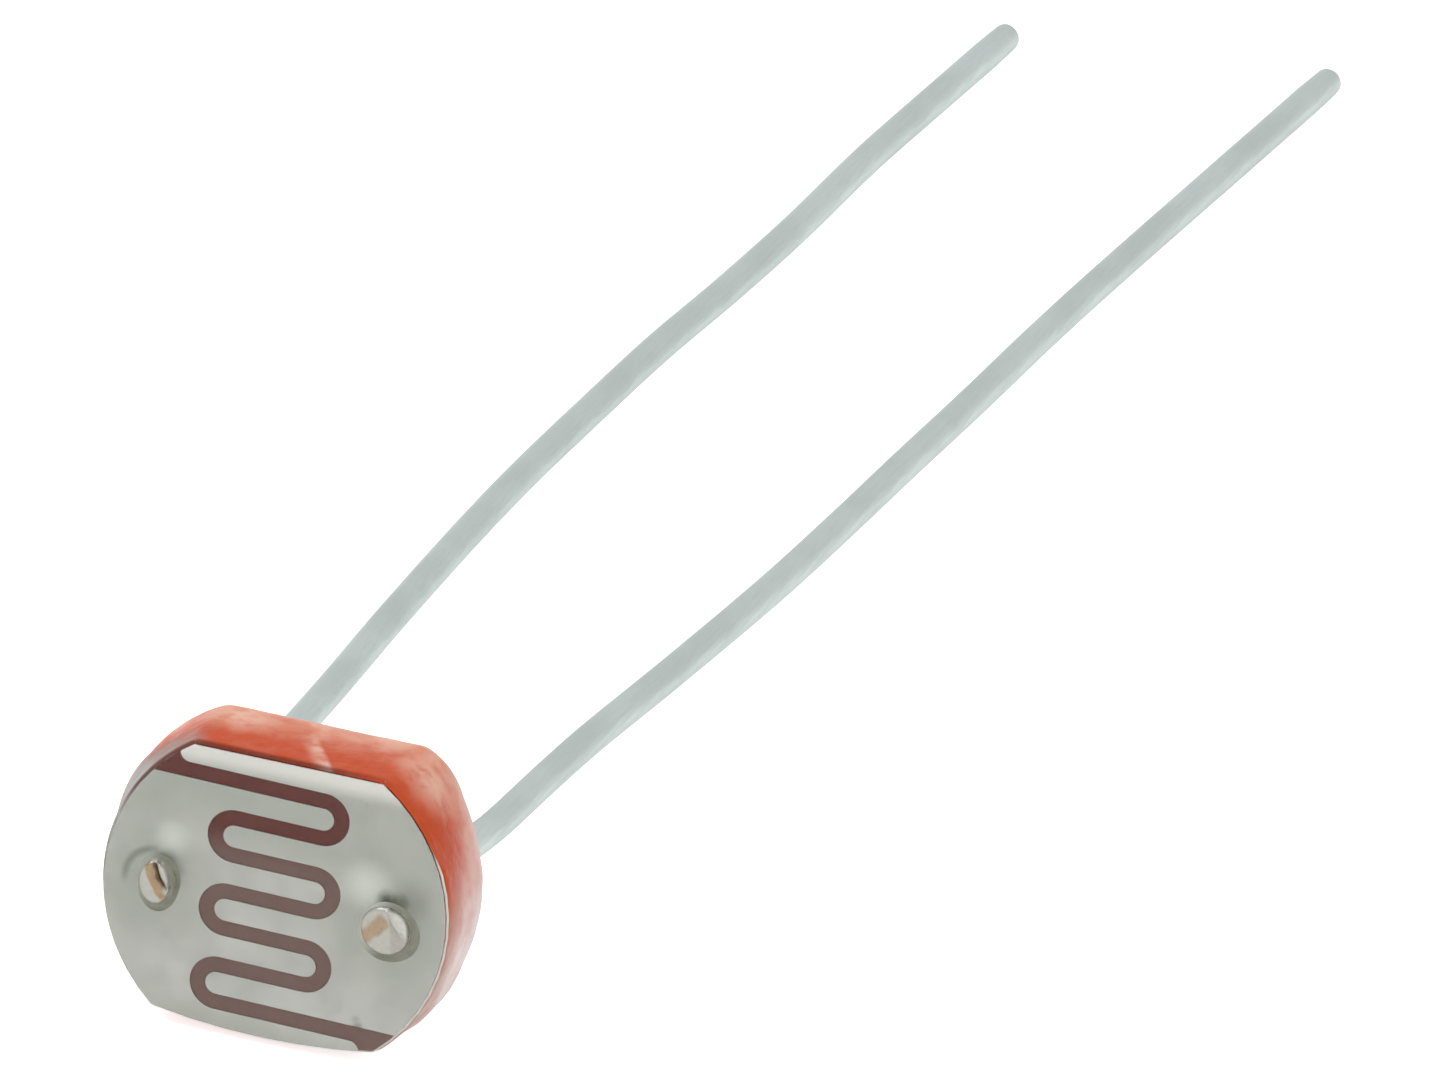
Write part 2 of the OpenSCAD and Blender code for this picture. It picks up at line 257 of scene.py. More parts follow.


# Marks on the metal of the face, as x, z and reach: two painted highlights above the pins,
# standing in for the varnish rings catching the light, and the dark blots by the right pin, which
# are painted shade, and by the lower right end of the track, with their strength
PAINTED_HIGHLIGHTS = ((-1.55, 0.62, 0.38), (1.3, 0.55, 0.5))
SHADE_AND_BLOTS = (
    (1.62, 0.38, 0.22, 1), (1.73, 0.4, 0.2, 0.85), (1.84, 0.4, 0.26, 0.8), (2.0, 0.42, 0.5, 0.4),
    (1.38, -1.58, 0.12, 0.6), (1.35, -1.47, 0.09, 0.3),
)


def electrode_look():
    """Evaporated metal: satin, faintly mottled, duller and stained about the pins, with painted
    highlights above the pins and along the top edge, and painted shade by the pins.
    """
    look = Look("electrode_metal", Metallic=1.0)
    grain = look.grain(0.03, 4)
    mottle = look.span(look.grain(0.8, 3), 0.3, 0.7)
    tone = look.mix(mottle, (0.348, 0.345, 0.326), (0.421, 0.409, 0.392))
    stain = look.span(look.grain(0.3, 5), 0.56, 0.78, 0, 0.4)
    tone = look.mix(stain, tone, (0.318, 0.308, 0.293))

    # Duller about the pins, low down and across the upper part, and a painted highlight along the
    # top edge
    left, right = [(side * LEAD_X, -FILM_T, 0) for side in (-1, 1)]
    low = look.times(look.along(DOWN, 1.6, 2.1), 0.6)
    upper = look.times(look.along((0.15, 0, 1), 0.1, 1.0), 0.65)
    dull = look.most(look.near(left, 1.3), look.near(right, 1.5), low, upper)
    tone = look.mix(look.times(dull, 0.75), tone, (0.275, 0.278, 0.25))
    top = look.times(look.along(UP, 1.72, 2.0), 0.75)
    tone = look.mix(top, tone, (0.65, 0.615, 0.6))

    # Painted highlights above the pins, where the varnish rings would catch the light
    painted_highlight = look.most(*[look.near((x, -FILM_T, z), reach) for x, z, reach in PAINTED_HIGHLIGHTS])
    tone = look.mix(look.times(painted_highlight, 0.8), tone, (0.516, 0.513, 0.478))
    # Painted shade: an arc along the upper left edge of the left pin's paste, and patches above
    # the right pin; then the blots by the lower right end of the track
    shade_and_blots = look.times(look.arc((-1.76, -FILM_T, -0.02), 0.43, 0.09, (-0.8, 0, 0.6)), 0.5)
    for x, z, reach, strength in SHADE_AND_BLOTS:
        shade_and_blots = look.most(shade_and_blots, look.times(look.near((x, -FILM_T, z), reach), strength))
    look.set("Base Color", look.mix(shade_and_blots, tone, (0.065, 0.068, 0.05)))
    look.set("Roughness", look.span(grain, 0.3, 0.7, 0.36, 0.5))
    look.bump(grain, 0.0015)
    return look.material


def bond_look(side):
    """Metal paste: dull, soft and dark grey, painted paler on its side towards the upper left,
    where it faces the lamp.
    """
    look = Look("conductive_bond", Metallic=0.25, Specular_IOR_Level=0.3)
    mottle = look.grain(0.2, 4)
    tone = look.mix(look.span(mottle, 0.3, 0.7), (0.2, 0.2, 0.155), (0.272, 0.268, 0.215))
    # Painted light: paler on the side towards the upper left, which faces the lamp
    thin = look.along((-1, 0, 0.2), -side * LEAD_X, -side * LEAD_X + 0.35)
    look.set("Base Color", look.mix(look.times(thin, 0.85), tone, (0.558, 0.558, 0.504)))
    look.set("Roughness", look.span(mottle, 0.3, 0.7, 0.55, 0.68))
    look.bump(look.grain(0.05, 4), 0.004)
    return look.material


def wire_look():
    """Tinned wire, drawn along its length. The snipped ends are duller, with bare copper, and with
    painted shade in the groove where the cutters closed."""
    look = Look("tinned_wire", Metallic=1.0, Specular_Tint=(0.72, 0.74, 0.74, 1))
    streaks = look.grain(0.06, 4, stretch=(1, 14, 1))
    clouds = look.grain(0.9, 3, stretch=(1, 2.5, 1))
    tin = look.mix(look.span(clouds, 0.3, 0.7), (0.485, 0.533, 0.517), (0.54, 0.595, 0.578))
    tin = look.mix(look.span(streaks, 0.45, 0.75, 0, 0.3), tin, (0.452, 0.493, 0.478))
    tin = look.mix(look.mark("snipped"), tin, (0.375, 0.37, 0.335))
    copper = look.mix(look.grain(0.08, 4), (0.26, 0.17, 0.095), (0.36, 0.275, 0.18))
    metal = look.mix(look.mark("copper"), tin, copper)
    # Painted shade: dark brown where the groove lies
    look.set("Base Color", look.mix(look.mark("crease_shade"), metal, (0.13, 0.08, 0.05)))
    look.set("Roughness", look.span(streaks, 0.3, 0.7, 0.38, 0.54))
    look.bump(streaks, 0.003)
    return look.material


# Painted highlights on the coat, as point and reach: the upper right and left corners, and the
# back edge of the top
HIGHLIGHT_SPOTS = (((1.75, 0.8, 1.85), 0.75), ((-1.1, 1.2, 2.1), 0.8), ((0.9, 1.75, 2.1), 1.15))

# Directions across and along the painted highlight over the top
HIGHLIGHT_ACROSS, HIGHLIGHT_ALONG = (0.88, 0.48, 0), (0.48, -0.88, 0)


def resin_look():
    """Dipped resin: deep orange where it is thin by the face, paler towards the back, where
    painted light stands in for the rounded back edge facing the lamp.
    """
    look = Look("resin", IOR=1.35, Specular_IOR_Level=0.25)
    clouds = look.grain(0.7, 4)
    flow = look.grain(0.3, 5)
    uneven = look.times(look.plus(clouds, flow), 0.7 * MM)
    # Deep orange by the face, where the resin is thin; paler towards the back, painted light for
    # the rounded back edge that faces the lamp
    back = look.span(look.plus(look.axis("Y"), uneven), 0.3 * MM, 1.7 * MM)
    tone = look.mix(back, (0.54, 0.07, 0.015), (0.74, 0.3, 0.195))
    side = look.flip(look.along(BACK, 1.4, 1.95))

    # Pale patches, and painted highlights at the corners and along the back edge of the top
    patchy = look.span(look.grain(0.45, 5, stretch=(1, 1.6, 1)), 0.45, 0.7, 0, 0.8)
    patches_and_highlights = look.times(patchy, look.most(back, 0.08), look.most(side, 0.35))
    corner_highlight = look.most(*[look.near(spot, reach) for spot, reach in HIGHLIGHT_SPOTS])
    patches_and_highlights = look.most(patches_and_highlights, look.times(corner_highlight, look.span(flow, 0.3, 0.6, 0.3, 1)))
    tone = look.mix(patches_and_highlights, tone, (0.82, 0.48, 0.36))

    # Painted reflection of the white floor and surroundings, low on the right and far back on the
    # right
    low = look.along((0.8, 0.25, -0.6), 1.3, 2.6)
    far = look.along((0.75, 0.6, 0.0), 2.1, 3.0)
    painted_reflection = look.times(look.most(low, far), look.span(flow, 0.25, 0.6, 0.65, 1),
                      look.most(side, 0.15))
    reflected_floor_tone = look.mix(look.along(BACK, 0.15, 0.75), (0.54, 0.39, 0.34), (0.82, 0.7, 0.68))
    tone = look.mix(painted_reflection, tone, reflected_floor_tone)

    # Painted shade along the front edge on the left, greyish, and redder at its upper end
    front = look.plus(look.axis("Y"), look.times(uneven, 0.6))
    front = look.span(front, -0.1 * MM, 0.3 * MM, 1, 0)
    left = look.times(look.along((-1, -0.35, 0.2), 1.45, 2.1), front)
    thin = look.mix(look.along(UP, 1.35, 1.75), (0.385, 0.372, 0.355), (0.36, 0.23, 0.2))
    tone = look.mix(left, tone, thin)

    # A painted highlight over the top, where a crease in the resin catches the light, and a
    # painted shadow line where the top meets the face
    run = look.times(
        look.along(HIGHLIGHT_ACROSS, 0.24, 0.5), look.flip(look.along(HIGHLIGHT_ACROSS, 0.5, 0.58)),
        look.along(HIGHLIGHT_ALONG, -1.3, -0.4), look.along(UP, 1.9, 2.1),
        look.span(flow, 0.3, 0.6, 0.2, 0.75))
    tone = look.mix(run, tone, (0.86, 0.58, 0.45))
    seam_shadow = look.times(look.flip(look.along(BACK, 0.0, 0.12)),
                      look.along((-0.3, 0, 1), 1.5, 2.0), 0.8)
    look.set("Base Color", look.mix(seam_shadow, tone, (0.09, 0.014, 0.006)))
    look.set("Roughness", look.span(clouds, 0.3, 0.7, 0.36, 0.52))
    look.bump(look.grain(0.25, 4), 0.04)
    return look.material


# Share of light that the varnish reflects, seen straight on
VARNISH_GLEAM = 0.018


def varnish_look():
    """A clear skin: what is under it shows, with a soft reflection on top that grows towards
    grazing angles and is the same from either side of the skin."""
    look = Look("varnish")
    tree = look.tree
    tree.nodes.remove(look.shader)
    clear = look.add("ShaderNodeBsdfTransparent")
    clear.inputs["Color"].default_value = (0.97, 0.98, 0.97, 1)
    gloss = look.add("ShaderNodeBsdfGlossy")
    gloss.inputs["Color"].default_value = (1, 1, 1, 1)
    look.link(look.span(look.grain(0.5, 3), 0.3, 0.7, 0.28, 0.4), gloss.inputs["Roughness"])
    facing = look.add("ShaderNodeLayerWeight")
    facing.inputs["Blend"].default_value = 0.5
    grazing = look.math("POWER", facing.outputs["Facing"], 5)
    gleam = look.plus(look.times(grazing, 1 - VARNISH_GLEAM), VARNISH_GLEAM)
    mix = look.add("ShaderNodeMixShader")
    look.link(gleam, mix.inputs[0])
    look.link(clear.outputs["BSDF"], mix.inputs[1])
    look.link(gloss.outputs["BSDF"], mix.inputs[2])
    look.link(mix.outputs["Shader"], tree.nodes["Material Output"].inputs["Surface"])
    return look.material


# Meshes

def piece(name, points, faces, look, node, sharp_deg):
    """A mesh from points in millimetres about the face, in place of a CAD node."""
    mesh = bpy.data.meshes.new(name)
    mesh.from_pydata(((np.asarray(points) + FACE) * MM).tolist(), [], faces)
    work = bmesh.new()
    work.from_mesh(mesh)
    bmesh.ops.recalc_face_normals(work, faces=work.faces)
    work.to_mesh(mesh)
    work.free()
    mesh.polygons.foreach_set("use_smooth", [True] * len(mesh.polygons))
    mesh.set_sharp_from_angle(angle=math.radians(sharp_deg))
    mesh.materials.append(look)
    obj = bpy.data.objects.new(name, mesh)
    bpy.context.scene.collection.objects.link(obj)
    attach(obj, "root")
    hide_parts(node)
    return obj


def bands(rings):
    """Quads between closed rows of point numbers of the same length."""
    faces = []
    for a, b in zip(rings, rings[1:]):
        n = len(a)
        for k in range(n):
            j = (k + 1) % n
            faces.append((int(a[k]), int(a[j]), int(b[j]), int(b[k])))
    return faces


# The leads

# Points drawn between two points of a route
ROUTE_STEPS = 6


def unit(v):
    return v / np.linalg.norm(v)


def lead_route(side, length, route):
    """Points and directions along a lead's middle line behind the coat, the start of its
    straight tip, its end, and the tip's direction."""
    fall = LEAD_R - COAT_TOP
    at = [np.array([side * LEAD_X + d, COAT_END + s * length, f * fall]) for s, d, f in route]
    way = unit(at[-1] - at[-2])
    joint = at[-1] - TIP_L * way
    p = [np.array([side * LEAD_X, ROOT_END, 0.0])] + at[:-2] + [joint]
    slopes = [np.array([0, np.linalg.norm(p[1] - p[0]), 0])]
    slopes += [(p[i + 1] - p[i - 1]) / 2 for i in range(1, len(p) - 1)]
    slopes += [way * np.linalg.norm(p[-1] - p[-2])]
    points, ways = [], []
    for i in range(len(p) - 1):
        for t in np.arange(0, 1, 1 / ROUTE_STEPS):
            points.append(p[i] * (2 * t**3 - 3 * t**2 + 1) + slopes[i] * (t**3 - 2 * t**2 + t)
                          + p[i + 1] * (3 * t**2 - 2 * t**3) + slopes[i + 1] * (t**3 - t**2))
            ways.append(unit((p[i] - p[i + 1]) * (6 * t**2 - 6 * t)
                             + slopes[i] * (3 * t**2 - 4 * t + 1)
                             + slopes[i + 1] * (3 * t**2 - 2 * t)))
    return points, ways, joint, at[-1], way


# Snipped end of each lead: offset from the lead's axis, stretch across and up, turn of its
# ridge, and section as distance from the middle and height over the metal
HEADS = {
    "lead_left": ((0, 0), (0.84, 1.2), 31,
                  [(-0.34, 0.17), (-0.12, 0.23), (0.0, 0.26), (0.055, 0.275), (0.113, 0.235),
                   (0.17, 0.29), (0.205, 0.3), (0.225, 0.28), (0.34, 0.15)]),
    "lead_right": ((-0.05, -0.035), (1.12, 1.12), 40,
                   [(-0.37, 0.08), (-0.1, 0.14), (0.1, 0.18), (0.14, 0.17), (0.195, 0.19),
                    (0.216, 0.22), (0.24, 0.2), (0.37, 0.1)]),
}
SIDES = 48
SNIP_RINGS = 15
HEAD_BEVEL = 0.02

# How the ridge of a snipped end curves, how it falls away towards both its ends, and the
# depth and size of the ragged edges of its marks
SNIP_CURVE, SNIP_FALL = 0.5, 0.25
RAGGED, RAGGED_SIZE = 0.03, 0.12

# Left end: bare copper and the painted shade of the groove as spans across the ridge, and where
# that shade starts
LEFT_COPPER, LEFT_CREASE_SHADE = (-0.06, 0.1), (0.065, 0.185)
CREASE_SHADE_START, CREASE_SHADE_FADE = -0.17, 0.12

# Right end: direction across the bare copper, its span with a soft edge, and its far end
COPPER_X, COPPER_Z = 0.755, 0.656
RIGHT_COPPER, COPPER_END, COPPER_FADE = (-0.25, 0.02, 0.07), 0.21, 0.08
# Shares of the bare copper and of the painted shade on the right end
COPPER_SHARE, CREASE_SHADE_SHARE = 0.85, 0.2

# Depths of a lead's straight rings, from behind its head to its root in the coat
SHANK = (-FILM_T + 0.001, 1.0, 1.8, 2.1, 2.35)

# Free wire, as a share of the source's radius: at its ends, what it gains between them, and its
# slow waves and their size; then the lengths over which it gains at the coat and loses at
# the tip
WIRE_PLAIN, WIRE_SWELL, WIRE_WAVE, WAVE_SIZE = 0.985, 0.07, 0.006, 1.3
SWELL_IN, SWELL_OUT = 1.2, 1.0

# Sheared tip: where the plain wire stops, its rings before that, the size of each last ring at
# a distance from the end, and the slant of the cut and its turn, in radians
TIP_CUT, TIP_STEPS = 0.09, 14
TIP_RINGS = ((0.05, 0.97), (0.02, 0.86), (0.0, 0.66))
TIP_SLANT, TIP_TURN = 0.05, 0.9


def lead(name, look):
    """A lead in one mesh: snipped head, straight shank, bent wire and sheared tip."""
    side, length, route = ROUTES[name]
    shift, stretch, turn, section = HEADS[name]
    head_x = side * LEAD_X + shift[0]
    angle = round_angles(SIDES)
    points, rings, marks = [], [], []

    def ring(co, mark=(0, 0, 0)):
        rings.append(np.arange(len(points), len(points) + SIDES))
        points.extend(co)
        marks.extend(np.broadcast_to(np.array(mark).T, (SIDES, 3)))

    # Snipped end, from its middle outwards, then down its side
    c, s = math.cos(math.radians(turn)), math.sin(math.radians(turn))
    us, hs = zip(*section)

    def snip(r):
        """A ring of the snipped face, with its copper, painted shade and snipped marks."""
        x, z = r * stretch[0] * np.cos(angle), r * stretch[1] * np.sin(angle)
        across = x * c + z * s
        along = z * c - x * s
        bend = across - SNIP_CURVE * along * along
        h = np.interp(bend, us, hs) - SNIP_FALL * along * along
        co = np.stack([head_x + x, -FILM_T - h, shift[1] + z], 1)
        ragged = RAGGED * waves(co, RAGGED_SIZE, 3 + side)

        def strip(t, low, high, soft=0.03):
            return smoothstep((t + ragged - low) / soft) * smoothstep((high - t - ragged) / soft)

        if side < 0:
            copper = strip(bend, *LEFT_COPPER)
            crease_shade = strip(bend, *LEFT_CREASE_SHADE)
            crease_shade = crease_shade * smoothstep((along - CREASE_SHADE_START) / CREASE_SHADE_FADE)
        else:
            copper = strip(COPPER_X * x - COPPER_Z * z, *RIGHT_COPPER)
            far = COPPER_END - COPPER_Z * x - COPPER_X * z
            copper = COPPER_SHARE * copper * smoothstep(far / COPPER_FADE)
            crease_shade = CREASE_SHADE_SHARE * smoothstep((x + 0.1 * z - 0.095) / 0.03)
            crease_shade = crease_shade * smoothstep((0.21 - across) / 0.03)
        return co, (copper, crease_shade, np.ones(SIDES))

    points.append((head_x, -FILM_T - float(np.interp(0, us, hs)), shift[1]))
    marks.append([float(m[0]) for m in snip(0.001)[1]])
    for r in np.linspace(0.02, HEAD_R[side] - HEAD_BEVEL, SNIP_RINGS):
        ring(*snip(r))
    edge, _ = snip(HEAD_R[side])
    edge[:, 1] += HEAD_BEVEL
    ring(edge, (0, 0, 1))
    foot = edge.copy()
    foot[:, 1] = -FILM_T
    ring(foot)
    shank_x, shank_z = side * LEAD_X + LEAD_R * np.cos(angle), LEAD_R * np.sin(angle)
    for y in SHANK:
        ring(np.stack([shank_x, np.full(SIDES, y), shank_z], 1))

    # The wire, bent as it lies, to its sheared tip
    centres, ways, joint, end, way = lead_route(side, length, route)
    steps = np.linspace(0, TIP_L - TIP_CUT, TIP_STEPS)
    centres += [joint + d * way for d in steps]
    ways += [way] * len(steps)
    depth = np.array([centre[1] for centre in centres])
    swell = smoothstep((depth - ROOT_END) / SWELL_IN) * smoothstep((end[1] - depth) / SWELL_OUT)
    ripple = WIRE_WAVE * waves(centres, WAVE_SIZE, 5 + side)
    sizes = list(WIRE_PLAIN + WIRE_SWELL * swell + ripple)
    for back, size in TIP_RINGS:
        centres.append(end - back * way)
        ways.append(way)
        sizes.append(size)
    for i, (centre, direction, size) in enumerate(zip(centres, ways, sizes)):
        across = unit(np.cross(direction, (0, 0, 1)))
        over = np.cross(across, direction)
        circle = np.outer(np.cos(angle), across) + np.outer(np.sin(angle), over)
        co = centre + LEAD_R * size * circle
        if i >= len(centres) - len(TIP_RINGS):
            co = co - TIP_SLANT * np.outer(1 + np.cos(angle - TIP_TURN * side), direction)
        ring(co)
    points.append(np.mean(points[-SIDES:], axis=0))
    marks.append((0, 0, 0))

    last = len(points) - 1
    faces = bands(rings)
    faces += [(0, int(rings[0][(k + 1) % SIDES]), int(rings[0][k])) for k in range(SIDES)]
    faces += [(last, int(rings[-1][k]), int(rings[-1][(k + 1) % SIDES])) for k in range(SIDES)]
    obj = piece(name + "_wire", points, faces, look, name, 50)
    for mark, values in zip(("copper", "crease_shade", "snipped"), np.asarray(marks, np.float32).T):
        store = obj.data.attributes.new(mark, "FLOAT", "POINT")
        store.data.foreach_set("value", values.copy())


# Sheets over the disc, with holes for the leads

N_ROUND = 256
N_HOLE = 48
GRID_HALF, GRID_ROW = 3, 0.866

# Radii between which an outline is looked for, and how often that span is halved
NEAREST, FARTHEST, HALVINGS = 0.2, 3.0, 40

# How sharply the corners of the disc, the coat's back and the coat's side are eased
DISC_SHARP, BACK_SHARP, SIDE_SHARP = 60, 30, 45

# A bow so wide that it cuts nothing away
NO_BOW = BOW_R + 1

# Swells of the coat's round side, as height, angle in degrees and width: the two upper corners,
# the right side below its middle, and a thinner place low on the right
SIDE_SWELLS = ((0.1, 46, 13), (0.13, 150, 20), (0.07, -33, 9), (-0.03, -54, 10))


def inset(x, z, radius, top, bow, sharp):
    """Distance in from the edge of a circle with two flats and a bow below, corners eased."""
    bowed = bow - np.hypot(x, z - BOW_R + BOW_LOW)
    sides = np.logaddexp(-sharp * (radius - np.hypot(x, z)), -sharp * (top - np.abs(z)))
    return -np.logaddexp(sides, -sharp * bowed) / sharp


def disc_inset(x, z, out):
    """Distance in from the outline of the disc, grown by out."""
    return inset(x, z, DISC_R + out, DISC_TOP + out, BOW_R + out, DISC_SHARP)


def side_radius(angle, grown):
    """Radius of the coat's round side, with a share of its swells."""
    a = np.degrees(angle)
    swell = sum(height * np.exp(-((a - middle) / width) ** 2)
                for height, middle, width in SIDE_SWELLS)
    return COAT_R + grown * swell


def coat_inset(x, z):
    """Distance in from the outline of the full coat."""
    return inset(x, z, side_radius(np.arctan2(z, x), 1), COAT_TOP, NO_BOW, BACK_SHARP)


def outline(depth, shape, *sizes):
    """Points on the line at that depth in from the edge of a shape."""
    a = round_angles(N_ROUND)
    low, high = np.full(N_ROUND, NEAREST), np.full(N_ROUND, FARTHEST)
    for _ in range(HALVINGS):
        middle = (low + high) / 2
        inside = shape(middle * np.cos(a), middle * np.sin(a), *sizes) > depth
        low, high = np.where(inside, middle, low), np.where(inside, high, middle)
    return np.stack([low * np.cos(a), low * np.sin(a)], 1)


def lead_distance(xz, holes=(0, 0)):
    """Distance from the nearer lead's axis, or from the edge of its hole."""
    left, right = (np.hypot(xz[:, 0] - side * LEAD_X, xz[:, 1]) for side in (-1, 1))
    return np.minimum(left - holes[0], right - holes[1])


def sheet(edge, holes, gaps, pitch, keep):
    """Triangles between an edge and the two lead holes, on rings round the holes and a grid.
    Returns the points, the triangles, and the numbers of the edge's and the holes' points."""
    a = round_angles(N_HOLE)
    rows, loops, count = [edge], [np.arange(N_ROUND)], N_ROUND
    for x, hole in zip((-LEAD_X, LEAD_X), holes):
        rows.append(np.stack([x + hole * np.cos(a), hole * np.sin(a)], 1))
        loops.append(np.arange(count, count + N_HOLE))
        count += N_HOLE
    for x, hole in zip((-LEAD_X, LEAD_X), holes):
        for i, gap in enumerate(gaps):
            b = a + (i % 2) * np.pi / N_HOLE
            co = np.stack([x + (hole + gap) * np.cos(b), (hole + gap) * np.sin(b)], 1)
            rows.append(co[keep(co)])
    gx, gz = np.meshgrid(np.arange(-GRID_HALF, GRID_HALF, pitch),
                         np.arange(-GRID_HALF, GRID_HALF, pitch * GRID_ROW), indexing="ij")
    gx = gx + pitch / 2 * (np.arange(gx.shape[1]) % 2)
    grid = np.stack([gx.ravel(), gz.ravel()], 1)
    rows.append(grid[keep(grid) & (lead_distance(grid, holes) > max(gaps) + pitch / 2)])
    xz = np.concatenate(rows)
    rims = [(int(l[k]), int(l[(k + 1) % len(l)])) for l in loops for k in range(len(l))]
    found = geometry.delaunay_2d_cdt([Vector(p) for p in xz], rims, [], 1, 1e-7)
    number = [ids[0] for ids in found[3]]
    triangles = [tuple(number[v] for v in f) for f in found[2]]
    middles = np.array([xz[list(t)].mean(0) for t in triangles])
    outside = lead_distance(middles, holes) > -0.003
    return xz, [t for t, k in zip(triangles, outside) if k], loops


def two_sides(xz, triangles, outer_y, inner_y):
    """Points and faces of a sheet's outer and inner side."""
    n = len(xz)
    points = [np.stack([xz[:, 0], np.broadcast_to(y, n), xz[:, 1]], 1) for y in (outer_y, inner_y)]
    return points, triangles + [(c + n, b + n, a + n) for a, b, c in triangles]


# The run up each lead: how fast it falls off, its slope further out, how softly it meets the
# back, and its unevenness as share and size
RUN_FALL, RUN_SLOPE, RUN_SHARP = 0.075, 0.6, 14
RUN_WAVE, RUN_WAVE_SIZE = 0.15, 0.3


def coat_depth(xz):
    """How far back the coat reaches: rounded at its edge, and drawn up round the leads."""
    off = np.clip(coat_inset(xz[:, 0], xz[:, 1]), 0, COAT_ROUND)
    back = COAT_END - COAT_ROUND + np.sqrt(COAT_ROUND**2 - (COAT_ROUND - off) ** 2)
    d = lead_distance(xz) - LEAD_R
    flat = np.insert(xz, 1, 0, axis=1)
    climb = RUN_L * (1 - RUN_WAVE + RUN_WAVE * waves(flat, RUN_WAVE_SIZE, 2))
    run = COAT_END + climb * np.exp(-np.maximum(d, -0.003) / RUN_FALL) - RUN_SLOPE * d
    return np.logaddexp(RUN_SHARP * back, RUN_SHARP * run) / RUN_SHARP


# Rings of sheet points round each lead, by distance from the wire or from the head
COAT_GAPS = (0.015, 0.032, 0.054, 0.082, 0.117, 0.162, 0.217, 0.287)
VARNISH_GAPS = (0.03, 0.07, 0.11, 0.15, 0.19, 0.24, 0.3, 0.37, 0.45, 0.54)
COAT_PITCH, VARNISH_PITCH = 0.09, 0.12

# Inset of the coat's back sheet, where its rounded edge takes over, and the angles of that edge
BACK_INSET = 0.25
ROUND_STEPS = (46, 39, 32, 25, 18, 11, 5, 0)

# The coat's side from the rounded edge to the front, as inset and depth
COAT_SIDE = (
    (0, 1.24), (0, 1.14), (0, 1.04), (0, 0.94), (0, 0.84), (0, 0.74), (0, 0.66), (0, 0.58),
    (0, 0.5), (0, 0.44), (0.002, 0.38), (0.006, 0.32), (0.012, 0.25), (0.019, 0.18),
    (0.025, 0.11), (0.029, 0.065),
)

# How far the coat draws in to the disc's edge at the front, between which angles in degrees,
# and over which angles that comes and goes
HUG, HUG_FROM, HUG_TO, HUG_IN, HUG_OUT = 0.045, 168, 312, 25, 20

# The coat's front edge from outside in, as distance out from the edge of the disc and depth:
# where it stops at the edge, and where it has run over the bevel to the film
LIP_SHORT = ((0.007, 0.036), (0.006, 0.03), (0.004, 0.028), (0.003, 0.03))
LIP_OVER = ((0.01, 0.012), (-0.008, -0.012), (-0.024, -0.02), (-0.023, -0.001))

# Angles in degrees between which the lip stops short, over which angle, and by which share
SHORT_FROM, SHORT_TO, SHORT_FADE, SHORT_SHARE = -62, 34, 15, 0.92

# The coat's inner side: its distance from the disc's edge and back, and where it starts
WALL_GAP, BACK_GAP, WALL_START = 0.003, 0.002, 0.036

# Slow unevenness of the dipped resin, as depth, size and seed, always towards its middle
DENTS = ((0.016, 1.0, 1), (0.014, 0.42, 4), (0.008, 0.2, 9))
COAT_MIDDLE = np.array([0, 0.7, 0])


